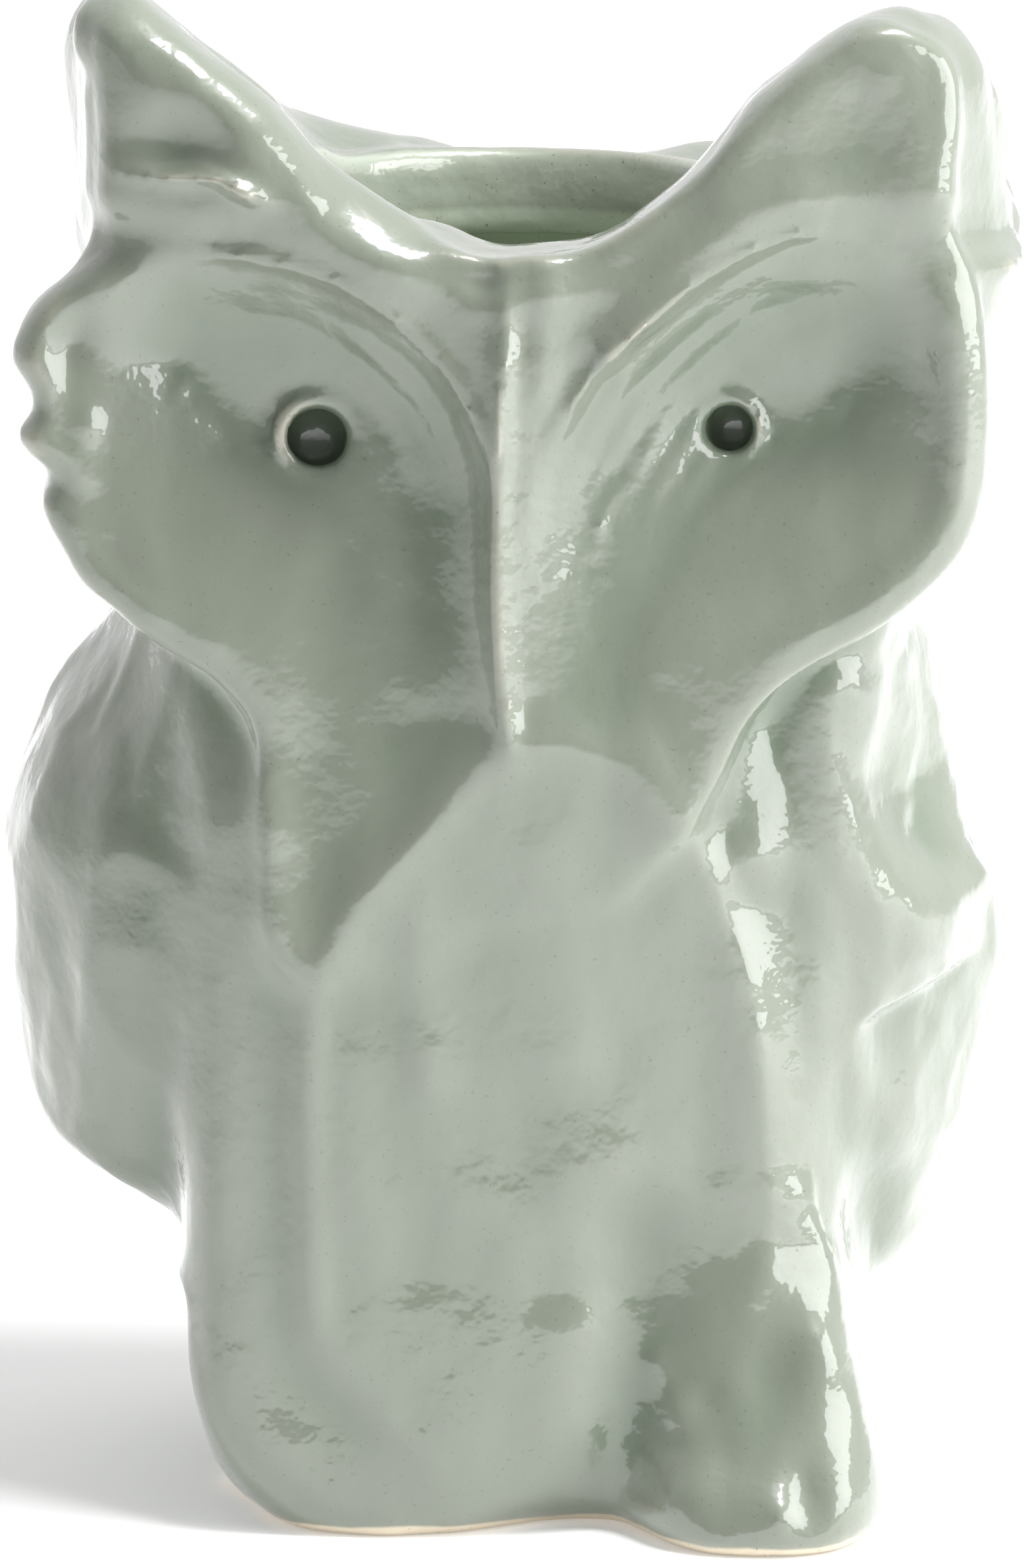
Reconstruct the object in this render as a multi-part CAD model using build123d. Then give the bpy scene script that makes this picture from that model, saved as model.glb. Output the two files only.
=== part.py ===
"""A hand-built owl vessel, in millimetres: a hollow pot with a round mouth behind the owl's face.

The pot is luted together from slabs, coils and lumps of clay, and each one is a solid of its own that
meets its neighbours face to face. +Z is up, the owl looks along -Y, and left and right are as seen
from the front, so left is -X. The origin is on the standing surface, under the middle of the mouth.
"""

from build123d import *
import math
import os

# base and body
base_thick = 7.0  # floor slab of the pot
body_height = 161.0  # from the floor slab to the bottom of the head
body_wall_thick = 6.0
body_front_low = 62.0  # reach of the body from the mouth's axis, towards the front
body_front_mid = 66.0
body_back_low = 62.0
body_back_mid = 80.0
body_half_low = 58.0
body_half_mid = 64.0
body_roundness = 2.6  # superellipse power: 2 is an ellipse, more is squarer

# neck, where the body meets the head
neck_half_left = 72.0
neck_half_right = 74.0
neck_front = 62.0
neck_back = 72.0

# head
head_height = 61.0  # from the neck to the underside of the top slab
head_half_left = 83.0
head_half_right = 92.0
head_front = 63.0
head_back = 78.0
head_roundness = 5.0
head_top_thick = 7.0

# mouth
mouth_radius = 39.0
collar_thick = 6.0
collar_drop = 5.0  # how far the collar hangs below the top slab
collar_rise = 4.5  # how far its lip stands above the top slab
lip_round = 2.4

# face slab and what is on it
face_thick = 16.0
face_wrap = 9.0  # how far its back edge reaches round the head's front corners
face_width = 172.0
face_height = 136.0  # from the beak's tip to the ear tips
brow_drop = 43.0  # from the ear tips down to the bottom of the V
eye_bowl_deep = 6.5
eye_bowl_half_width = 38.0
eye_bowl_half_height = 40.0
eye_bowl_above_beak = 52.0
eye_apart = 74.0
eye_shift = 2.0  # the pair of eyes sits this far to the right
eye_above_beak = 60.0
left_eye_radius = 4.6
right_eye_radius = 3.9
eye_deep = 4.5
ridge_width = 8.0
ridge_proud = 8.0
brow_coil_half_height = 5.5
brow_coil_proud = 3.5

# ears
ear_front_height = 43.0  # above the top slab
right_ear_drop = 4.0  # the right ear is this much lower
ear_back_height = 11.0
ear_width = 45.0
ear_crest_width = 12.0
ear_reach_back = 58.0

# wings
wing_half_length = 52.0
wing_left_half_height = 62.0
wing_right_half_height = 65.0
wing_left_proud = 30.0  # beyond the body's side
wing_right_proud = 23.0
wing_middle_height = 97.0

# legs and feet
leg_top_gap = 8.0  # from the top of a leg up to the neck
leg_half_width = 17.0
leg_half_depth = 23.0
leg_proud = 9.0  # beyond the body's front
leg_left_offset = 44.0
leg_right_offset = 46.0
left_foot_half_width = 34.0
left_foot_half_length = 32.0
left_foot_offset = 23.0
right_foot_half_width = 20.0
right_foot_half_length = 36.0
right_foot_offset = 46.0
foot_height = 30.0
foot_proud = 15.0  # beyond the body's front
right_foot_further = 11.0  # the right foot stands this much further forward
foot_tuck = 7.0  # height of a foot's widest level

# belly slab between the legs
belly_thick = 11.0
belly_half_width = 41.0
belly_bottom = 20.0
belly_below_beak = 1.0  # from the beak's tip down to the belly's top

# heights that follow
neck_z = base_thick + body_height
head_top_under = neck_z + head_height
head_top_z = head_top_under + head_top_thick
ear_tip_z = head_top_z + ear_front_height
beak_z = ear_tip_z - face_height
brow_z = ear_tip_z - brow_drop
belly_height = beak_z - belly_below_beak - belly_bottom
face_front_y = -head_front - face_thick + 3.0
face_back_y = -head_front + face_wrap


def oval(z, left, right, front, back, power):
    """A closed level outline with its own reach on each side, as a face at height z."""
    points = []
    steps = 16
    for i in range(steps):
        turn = 2 * math.pi * i / steps
        c = math.cos(turn)
        s = math.sin(turn)
        x = math.copysign(abs(c) ** (2 / power), c) * (right if c > 0 else left)
        y = math.copysign(abs(s) ** (2 / power), s) * (back if s > 0 else front)
        points.append((x, y, z))
    return make_face(Spline(points, periodic=True))


def upright_loft(sections, grow):
    """Lofts level outlines, each moved outward by grow."""
    faces = []
    for z, left, right, front, back, power in sections:
        faces.append(oval(z, left + grow, right + grow, front + grow, back + grow, power))
    return loft(faces)


def body_form(grow=0.0):
    """The body as a solid lump, from the floor slab's top to the neck."""
    half = body_half_mid
    low = body_half_low
    back = body_back_mid
    quarter_z = base_thick + 0.25 * body_height
    belly_z = base_thick + 0.6 * body_height
    sections = [
        (base_thick, low - 2, low + 2, body_front_low, body_back_low, body_roundness),
        (quarter_z, half - 3, half - 2, body_front_mid, back - 5, body_roundness),
        (belly_z, half, half, body_front_mid, back, body_roundness),
        (neck_z, neck_half_left, neck_half_right, neck_front, neck_back, head_roundness),
    ]
    return upright_loft(sections, grow)


def head_sections():
    middle = 0.5 * head_height
    left = 0.5 * (neck_half_left + head_half_left) + 2
    right = 0.5 * (neck_half_right + head_half_right) + 2
    return [
        (neck_z, neck_half_left, neck_half_right, neck_front, neck_back, head_roundness),
        (neck_z + middle, left, right, head_front, head_back, head_roundness),
        (head_top_under, head_half_left, head_half_right, head_front, head_back, head_roundness),
    ]


def head_form(grow=0.0):
    """The head as a solid lump, from the neck to the underside of the top slab."""
    return upright_loft(head_sections(), grow)


def front_prism(edges, near_y, far_y):
    """Extrudes a closed outline drawn in the front view, as (x, z), from near_y back to far_y."""
    outline = make_face([Plane.XZ * edge for edge in edges])
    return Pos(0, far_y, 0) * extrude(outline, amount=far_y - near_y, dir=(0, -1, 0))


def base_slab():
    outline = oval(
        0, body_half_low - 2, body_half_low + 2, body_front_low, body_back_low, body_roundness
    )
    return extrude(outline, amount=base_thick, dir=(0, 0, 1))


def body_wall():
    return body_form() - body_form(-body_wall_thick)


def head_wall():
    return head_form() - head_form(-body_wall_thick)


def head_top():
    outline = oval(
        head_top_under, head_half_left, head_half_right, head_front, head_back, head_roundness
    )
    slab = extrude(outline, amount=head_top_thick, dir=(0, 0, 1))
    hole = Cylinder(mouth_radius + collar_thick, 4 * head_top_thick)
    return slab - Pos(0, 0, head_top_z) * hole


def mouth_collar():
    tall = collar_drop + head_top_thick + collar_rise
    low = head_top_under - collar_drop
    to_middle = low + tall / 2
    ring = Cylinder(mouth_radius + collar_thick, tall) - Cylinder(mouth_radius, tall)
    ring = fillet(ring.edges().group_by(Axis.Z)[-1], lip_round)
    return Pos(0, 0, to_middle) * ring


def face_outline():
    """The face slab from the front: ear tips, the V of the brows, cheeks and beak."""
    w = face_width / 2
    h = face_height
    v = brow_z
    beak = (0, beak_z)
    left_tip = (-0.8 * w, ear_tip_z)
    right_tip = (0.73 * w, ear_tip_z - right_ear_drop)
    left_corner = (-0.93 * w, ear_tip_z - 4)
    right_corner = (0.86 * w, ear_tip_z - right_ear_drop - 4)
    arms = Polyline(
        left_tip,
        (-0.52 * w, v + 0.19 * h),
        (-0.3 * w, v + 0.08 * h),
        (-0.09 * w, v),
        (0.14 * w, v),
        (0.31 * w, v + 0.06 * h),
        (0.53 * w, v + 0.17 * h),
        right_tip,
        right_corner,
    )
    right_cheek = Spline(
        right_corner,
        (0.88 * w, v + 0.08 * h),
        (0.99 * w, v - 0.09 * h),
        (1.0 * w, v - 0.24 * h),
        (0.9 * w, v - 0.41 * h),
        (0.57 * w, v - 0.56 * h),
        beak,
    )
    left_cheek = Spline(
        beak,
        (-0.62 * w, v - 0.57 * h),
        (-0.92 * w, v - 0.43 * h),
        (-1.02 * w, v - 0.18 * h),
        (-0.97 * w, v - 0.01 * h),
        (-0.96 * w, v + 0.14 * h),
        left_corner,
    )
    return [arms, right_cheek, left_cheek, Line(left_corner, left_tip)]


def eye_places():
    """(x, radius) of each eye."""
    return [
        (eye_shift - eye_apart / 2, left_eye_radius),
        (eye_shift + eye_apart / 2, right_eye_radius),
    ]


def face_slab(behind):
    slab = front_prism(face_outline(), face_front_y, face_back_y)
    bowl = scale(Sphere(1), by=(eye_bowl_half_width, eye_bowl_deep, eye_bowl_half_height))
    for x, radius in eye_places():
        slab -= Pos(x, face_front_y, beak_z + eye_bowl_above_beak) * bowl
        poke = Rot(90, 0, 0) * Cylinder(radius, 2 * (eye_bowl_deep + eye_deep))
        slab -= Pos(x, face_front_y, beak_z + eye_above_beak) * poke
    for piece in behind:
        slab -= piece
    return largest(slab)


def nose_ridge(behind):
    """A pinched ridge of triangular section from the brow down to the beak."""
    faces = []
    tall = brow_z - beak_z
    for share, size in ((0.03, 0.35), (0.45, 1.0), (0.92, 0.8)):
        half = size * ridge_width / 2
        tip = face_front_y - size * ridge_proud
        z = beak_z + share * tall
        back = face_front_y + eye_bowl_deep
        corners = [
            (-half, back, z),
            (half, back, z),
            (half, face_front_y, z),
            (0, tip, z),
            (-half, face_front_y, z),
        ]
        faces.append(make_face(Polyline(corners, close=True)))
    return largest(loft(faces, ruled=True) - behind)


def brow_coil(side, behind):
    """A coil pressed along one arm of the V, from beside the nose to the ear."""
    w = face_width / 2
    start = (side * (ridge_width / 2 + 5), face_front_y, brow_z - 9)
    middle = (side * 0.42 * w, face_front_y, brow_z + 6)
    end = (side * 0.78 * w, face_front_y, brow_z + 0.62 * brow_drop)
    path = ThreePointArc(start, middle, end)
    section = Plane(origin=path @ 0, z_dir=path % 0, x_dir=(0, 1, 0))
    coil = sweep(section * Ellipse(brow_coil_proud, brow_coil_half_height), path=path)
    return largest(coil - behind)


def ear(side, behind):
    """A wedge on the top slab behind the face, highest at the front and falling to the back."""
    outer = head_half_right if side > 0 else head_half_left
    front_height = ear_front_height - (right_ear_drop if side > 0 else 0)
    faces = []
    for y, tall, inset in (
        (face_back_y, front_height, 5.0),
        (ear_reach_back, ear_back_height, 9.0),
    ):
        foot = outer - inset
        corners = [
            (side * foot, y, head_top_z),
            (side * foot, y, head_top_z + 0.8 * tall),
            (side * (foot - 5), y, head_top_z + tall),
            (side * (foot - 5 - ear_crest_width), y, head_top_z + 0.95 * tall),
            (side * (foot - ear_width), y, head_top_z),
        ]
        faces.append(make_face(Polyline(corners, close=True)))
    wedge = loft(faces, ruled=True)
    wedge -= Pos(0, 0, head_top_z) * Cylinder(mouth_radius + collar_thick, 4 * ear_front_height)
    for piece in behind:
        wedge -= piece
    return largest(wedge)


def wing(side, behind):
    proud = wing_right_proud if side > 0 else wing_left_proud
    half_height = wing_right_half_height if side > 0 else wing_left_half_height
    sunk = 6.0
    lump = scale(Sphere(1), by=(proud + sunk, wing_half_length, half_height))
    place = Pos(side * (body_half_mid - sunk), 4, wing_middle_height)
    lump = place * lump
    for piece in behind:
        lump -= piece
    return largest(lump)


def leg(offset, behind):
    faces = []
    top = neck_z - leg_top_gap
    for share, size in ((0.0, 1.1), (0.5, 0.98), (1.0, 0.86)):
        z = share * top
        middle_y = leg_half_depth - body_front_mid - leg_proud
        section = Ellipse(size * leg_half_width, size * leg_half_depth)
        faces.append(Pos(offset, middle_y, z) * section)
    column = loft(faces)
    for piece in behind:
        column -= piece
    return largest(column)


def foot(offset, half_width, half_length, further, behind):
    """A pinched lobe that stands on the floor in front of the base."""
    front = body_front_low + foot_proud + further
    lobe = scale(Sphere(1), by=(half_width, half_length, foot_height))
    lobe = Pos(offset, half_length - front, foot_tuck) * lobe
    lobe -= Pos(offset, half_length - front, -2 * foot_height) * Box(
        4 * half_width, 4 * half_length, 4 * foot_height
    )
    for piece in behind:
        lobe -= piece
    return largest(lobe)


def belly_outline():
    w = belly_half_width
    h = belly_height
    b = belly_bottom
    left_foot_corner = (-0.7 * w, b)
    right_foot_corner = (1.02 * w, b)
    edge = Spline(
        right_foot_corner,
        (1.12 * w, b + 0.35 * h),
        (1.0 * w, b + 0.67 * h),
        (0.6 * w, b + 0.98 * h),
        (-0.1 * w, b + h),
        (-0.78 * w, b + 0.76 * h),
        (-0.94 * w, b + 0.45 * h),
        left_foot_corner,
    )
    return [edge, Line(left_foot_corner, right_foot_corner)]


def belly_slab(behind):
    prism = front_prism(belly_outline(), -body_front_mid - 3 * belly_thick, -0.3 * body_front_mid)
    slab = prism & body_form(belly_thick)
    for piece in behind:
        slab -= piece
    return largest(slab)


def largest(shape):
    """The biggest solid of a cut, without the crumbs."""
    return max(shape.solids(), key=lambda solid: solid.volume)


def build():
    """All pieces by name, in the order that a potter adds them: each is cut to what is there."""
    body = body_form()
    head = head_form()
    parts = {
        "base_slab": base_slab(),
        "body_wall": body_wall(),
        "head_wall": head_wall(),
        "head_top": head_top(),
        "mouth_collar": mouth_collar(),
    }
    base = parts["base_slab"]
    top = parts["head_top"]
    parts["face_slab"] = face_slab([body, head, top])
    face = parts["face_slab"]
    parts["nose_ridge"] = nose_ridge(face)
    for name, side in (("left", -1), ("right", 1)):
        parts[name + "_brow"] = brow_coil(side, face + parts["nose_ridge"])
        parts[name + "_ear"] = ear(side, [face, top])
        parts[name + "_wing"] = wing(side, [body, head, face])
    parts["belly_slab"] = belly_slab([body, face])
    belly = parts["belly_slab"]
    parts["left_foot"] = foot(
        -left_foot_offset, left_foot_half_width, left_foot_half_length, 0, [base, body, belly]
    )
    parts["right_foot"] = foot(
        right_foot_offset,
        right_foot_half_width,
        right_foot_half_length,
        right_foot_further,
        [base, body, belly, parts["left_foot"]],
    )
    feet = [parts["left_foot"], parts["right_foot"]]
    wings = [parts["left_wing"], parts["right_wing"]]
    behind_leg = [base, body, head, face, belly, *feet, *wings]
    parts["left_leg"] = leg(-leg_left_offset, behind_leg)
    parts["right_leg"] = leg(leg_right_offset, behind_leg)
    return parts


os.makedirs("parts", exist_ok=True)
for node, shape in build().items():
    export_step(shape, f"parts/{node}.step")
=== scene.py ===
import bpy
import math
import numpy as np
import openvdb
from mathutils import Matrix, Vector


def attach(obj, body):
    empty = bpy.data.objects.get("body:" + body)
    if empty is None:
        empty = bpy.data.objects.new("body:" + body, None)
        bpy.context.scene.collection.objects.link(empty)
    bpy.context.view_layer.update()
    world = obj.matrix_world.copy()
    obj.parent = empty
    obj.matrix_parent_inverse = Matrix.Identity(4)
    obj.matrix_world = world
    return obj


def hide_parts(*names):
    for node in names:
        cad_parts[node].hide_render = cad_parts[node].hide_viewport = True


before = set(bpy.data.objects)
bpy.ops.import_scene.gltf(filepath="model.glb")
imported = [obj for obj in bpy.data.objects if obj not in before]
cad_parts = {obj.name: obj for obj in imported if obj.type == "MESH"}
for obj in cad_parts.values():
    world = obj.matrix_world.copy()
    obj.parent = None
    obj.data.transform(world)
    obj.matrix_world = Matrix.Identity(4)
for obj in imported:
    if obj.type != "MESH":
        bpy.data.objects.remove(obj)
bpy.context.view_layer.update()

# The clay is worked in millimetres, on a grid of blocks: a form is negative inside and positive outside.
# x runs to the right as seen from the front, the owl looks along -y, and z is up.

clay = {
    "block": 1.3,
    "low": (-104.0, -98.0, -5.0),
    "high": (104.0, 92.0, 288.0),
    "smoothings": 3,
    "smoothing": (0.55, -0.57),  # each smoothing is a step in and a step out again
    "edgeReach": 4.0,  # how far round a point the glaze feels a sharp edge
    "hollowReach": 14.0,
    "strokeEnd": 5,  # each end of a stroke fades over a fifth of its length
    "ridgePower": 1.6,
}


def axisOf(low, high):
    return np.arange(low, high, clay["block"], dtype=np.float32)


gx = axisOf(clay["low"][0], clay["high"][0])[:, None, None]
gy = axisOf(clay["low"][1], clay["high"][1])[None, :, None]
gz = axisOf(clay["low"][2], clay["high"][2])[None, None, :]


# two forms run together, or one cut by the other, with a soft edge
def join(a, b, soft):
    h = np.clip(0.5 + 0.5 * (b - a) / soft, 0, 1)
    return b + (a - b) * h - soft * h * (1 - h)


def trim(a, b, soft):
    return -join(-a, -b, soft)


def ease(t):
    t = np.clip(t, 0, 1)
    return t * t * (3 - 2 * t)


# 0 at the start and 1 a reach further on; a reach below 0 runs the other way.
# Pairs such as "neck" or "chinAbove" further down are a start and a reach.
def fade(value, start, reach):
    return ease((value - start) / reach)


def curveThrough(points, closed=False, steps=6):
    p = np.array(points, dtype=float)
    if closed:
        p = np.vstack([p[-1:], p, p[:2]])
    else:
        p = np.vstack([2 * p[0] - p[1], p, 2 * p[-1] - p[-2]])
    out = []
    for a, b, c, d in zip(p[:-3], p[1:-2], p[2:-1], p[3:]):
        for t in np.arange(steps) / steps:
            out.append(0.5 * (2 * b + (c - a) * t + (2 * a - 5 * b + 4 * c - d) * t**2
                              + (3 * b - a - 3 * c + d) * t**3))
    if not closed:
        out.append(p[-2])
    return np.array(out)


def nearestOn(line, u, v, closed=False):
    ends = np.roll(line, -1, axis=0) if closed else line[1:]
    starts = line if closed else line[:-1]
    best = None
    share = None
    for i, (a, b) in enumerate(zip(starts, ends)):
        run = b[:2] - a[:2]
        t = ((u - a[0]) * run[0] + (v - a[1]) * run[1]) / max(float(run @ run), 1e-6)
        t = np.clip(t, 0, 1)
        far = (u - a[0] - t * run[0]) ** 2 + (v - a[1] - t * run[1]) ** 2
        if best is None:
            best = far
            share = t
        else:
            nearer = far < best
            share = np.where(nearer, i + t, share)
            best = np.where(nearer, far, best)
    return np.sqrt(best), share / len(starts)


def outlineForm(points, u, v):
    line = curveThrough(points, closed=True)
    far, _ = nearestOn(line, u, v, closed=True)
    inside = np.zeros(np.broadcast(u, v).shape, dtype=bool)
    for a, b in zip(line, np.roll(line, -1, axis=0)):
        crosses = (a[1] > v) != (b[1] > v)
        if abs(b[1] - a[1]) > 1e-9:
            inside ^= crosses & (u < (b[0] - a[0]) * (v - a[1]) / (b[1] - a[1]) + a[0])
    return np.where(inside, -far, far)


def stroke(points, wide, high, u, v, sharp=False):
    line = curveThrough(points)
    far, share = nearestOn(line, u, v)
    full = high * ease(np.minimum(share, 1 - share) * clay["strokeEnd"])
    if sharp:
        return full * np.clip(1 - far / wide, 0, 1) ** clay["ridgePower"]
    return full * np.exp(-(far / wide) ** 2)


def dab(place, wide, high, u, v):
    far = ((u - place[0]) / wide[0]) ** 2 + ((v - place[1]) / wide[1]) ** 2
    return high * np.exp(-far)


# a size at each height, smooth between the heights that are given
def between(z, heights, sizes):
    line = curveThrough(list(zip(heights, sizes)), steps=8)
    return np.interp(z, line[:, 0], line[:, 1]).astype(np.float32)


# a rounded or squarish tube; its size on each side and its roundness may change with the height
def ringForm(left, right, front, back, power, x=gx, y=gy):
    a = np.where(x < 0, left, right)
    b = np.where(y < 0, front, back)
    r = (np.abs(x / a) ** power + np.abs(y / b) ** power) ** (1 / power)
    return (r - 1) * np.minimum(a, b)


# soft random lumps, as large as size along each axis
def unevenness(size, seed):
    rng = np.random.default_rng(seed)
    basis = []
    for g, wide in zip((gx, gy, gz), size):
        g = g.ravel()
        t = (g - g[0]) / wide
        n = int(t[-1]) + 5
        d = np.abs(t[:, None] + 1.5 - np.arange(n)[None, :])
        w = np.where(d < 1, 2 / 3 - d**2 + d**3 / 2, np.where(d < 2, (2 - d) ** 3 / 6, 0))
        basis.append(w.astype(np.float32))
    lumps = rng.normal(size=[b.shape[1] for b in basis]).astype(np.float32)
    lumps = np.tensordot(basis[0], lumps, (1, 0))
    lumps = np.einsum("yj,xjk->xyk", basis[1], lumps)
    gain = 2.2  # makes up for what the smoothing takes
    return gain * np.einsum("zk,xyk->xyz", basis[2], lumps)


def blurred(a, cells, axes=(0, 1, 2)):
    for axis in axes:
        pad = [(0, 0)] * 3
        pad[axis] = (cells + 1, cells)
        run = np.cumsum(np.pad(a, pad, mode="edge"), axis=axis, dtype=np.float64)
        n = a.shape[axis]
        high = np.take(run, np.arange(2 * cells + 1, 2 * cells + 1 + n), axis=axis)
        low = np.take(run, np.arange(0, n), axis=axis)
        a = ((high - low) / (2 * cells + 1)).astype(np.float32)
    return a


def soften(relief, reach):
    cells = max(1, round(reach / clay["block"] / 2))
    return blurred(blurred(relief, cells, (0, 2)), cells, (0, 2))


# the pot: body and head are one squarish tube, and the ears fall to the back along its top

pot = {
    "heights": (-5, 12, 45, 100, 140, 168, 200, 225, 240, 285),
    "left": (54, 55, 58, 61, 66, 72, 78, 80.5, 80.5, 80),
    "right": (55, 56, 58, 60, 66, 74, 85, 93, 94, 90),
    "front": (60, 60, 60, 61, 60, 59, 60, 63, 70, 70),
    "back": (60, 62, 69, 76, 75, 72, 75, 78, 78, 76),
    "squareness": (2.7, 2.7, 2.8, 2.9, 3.2, 4.0, 4.6, 5.0, 6.0, 6.0),
    "top": 237.0,
    "topSteep": 0.75,
    "edgeRound": 9.0,
    "wall": 6.0,
    "topThick": 8.0,
    "floorThick": 8.0,
    "insideFront": 54.0,
    "behindFace": 11.0,  # the hollow is this much less deep in the head
    "neck": (140, 20),
    "insideRound": 4.0,
}
ears = {
    "leftCrest": ((-66, -66, 272), (-73, -48, 281), (-75, -20, 275), (-70, 8, 267), (-58, 30, 259),
                  (-44, 44, 250), (-22, 52, 241)),
    "rightCrest": ((66, -70, 276), (69, -50, 276), (78, -25, 268), (84, 0, 258), (82, 25, 250),
                   (62, 45, 245), (40, 56, 240)),
    "crestRound": 9.0,
    "slope": 0.9,
    "blend": 12.0,
    "corners": ((-69.5, -0.906, -0.423), (74.5, 0.905, -0.427)),  # x of each flat side, and where it faces
    "cornerFront": -76.0,
    "cornerRound": 5.0,
    "cornerFades": (25.0, (238, -14)),
    "combed": 0.55,
    "combedAbove": (222, 16),
    "combedBeside": (68, 8),
}
mouth = {
    "radius": 39.0,
    "ringThick": 6.0,
    "ringRound": 3.5,
    "lip": 241.5,
    "hangs": 225.0,
    "open": 215.0,
    "wobble": (0.5, 3, 1),  # how much, how often round the ring, and how far turned
    "underTop": (7.0, 1.2),  # how much wider the hollow is than the mouth, and its slope below it
    "frontDip": 13.0,  # the front lip stays hidden behind the brow
    "dipAcross": (44, -14),
    "dipForward": (-8, -26),
    "blend": 3.0,
    "edgeRound": 2.0,
}


def dipInFront():
    return mouth["frontDip"] * fade(gy, *mouth["dipForward"]) * fade(np.abs(gx), *mouth["dipAcross"])


def topOfHead():
    top = -pot["top"] + 0 * gx * gy
    for name in ("leftCrest", "rightCrest"):
        line = curveThrough(ears[name])
        far, share = nearestOn(line, gx, gy)
        crest = np.interp(share * (len(line) - 1), np.arange(len(line)), line[:, 2])
        fall = np.sqrt((ears["slope"] * far) ** 2 + ears["crestRound"] ** 2) - ears["crestRound"]
        top = join(top, fall - crest, ears["blend"])
    return -top - dipInFront()


def potForm(grow=0.0):
    reach = [between(gz, pot["heights"], pot[side]) + grow for side in ("left", "right", "front", "back")]
    return ringForm(*reach, between(gz, pot["heights"], pot["squareness"]))


# flat sides behind the ear tips, which end at the top of the head
def earSides(form):
    spare, fades = ears["cornerFades"]
    for x, outward, forward in ears["corners"]:
        plane = (gx - x) * outward + (gy - ears["cornerFront"]) * forward
        form = trim(form, plane - spare * fade(gz, *fades), ears["cornerRound"])
    return form


# the wings: how far out and how deep they are at each height

leftWing = {
    "heights": (30, 40, 49, 56, 62, 70, 82, 101, 120, 131, 145, 160, 172),
    "out": (49, 56, 66, 78, 86, 91, 93.5, 96.5, 96, 92.5, 87, 77, 60),
    "deep": (10, 26, 38, 46, 51, 55, 59, 62, 61, 58, 54, 48, 34),
    "middle": (-46, 1),
}
rightWing = {
    "heights": (22, 30, 41, 50, 62, 71, 80, 96, 106, 114, 123, 139, 150, 161, 172),
    "out": (50, 65, 77.5, 81, 84.5, 88, 88.5, 90.5, 89.5, 89, 84, 79.5, 78.5, 73, 60),
    "deep": (10, 24, 36, 42, 50, 54, 57, 60, 61, 62, 62, 60, 56, 48, 34),
    "middle": (44, 6),
}
wings = {"roundness": 2.3, "thinnest": 3.0, "endRound": 6.0, "blend": 10.0}
rightFold = {
    "start": (62, 92),
    "rise": 0.3,
    "deep": 4.0,
    "edge": 2.5,
    "reach": 14.0,
    "outward": 5.0,
    "forward": (-12, -16),
}


def wingForm(wing):
    out = between(gz, wing["heights"], wing["out"])
    deep = between(gz, wing["heights"], wing["deep"])
    x = gx - wing["middle"][0]
    y = gy - wing["middle"][1]
    half = np.maximum(out - abs(wing["middle"][0]), wings["thinnest"])
    deep = np.maximum(deep, wings["thinnest"])
    form = ringForm(half, half, deep, deep, wings["roundness"], x, y)
    ends = np.maximum(wing["heights"][0] - gz, gz - wing["heights"][-1])
    return trim(form, ends, wings["endRound"])


# the right wing steps back under a fold and comes forward again further down
def foldRightWing(form):
    x, z = rightFold["start"]
    below = z + rightFold["rise"] * (gx - x) - gz
    dent = ease(below / rightFold["edge"] + 0.5) * np.exp(-np.maximum(below, 0) / rightFold["reach"])
    dent = rightFold["deep"] * dent * fade(gx, x, rightFold["outward"])
    return form + dent * fade(gy, *rightFold["forward"])


# the face plate, its bowls and its marks; rolls and creases are (points, width, height) and
# hollows are (place, size, height), where minus is a dent

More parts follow.
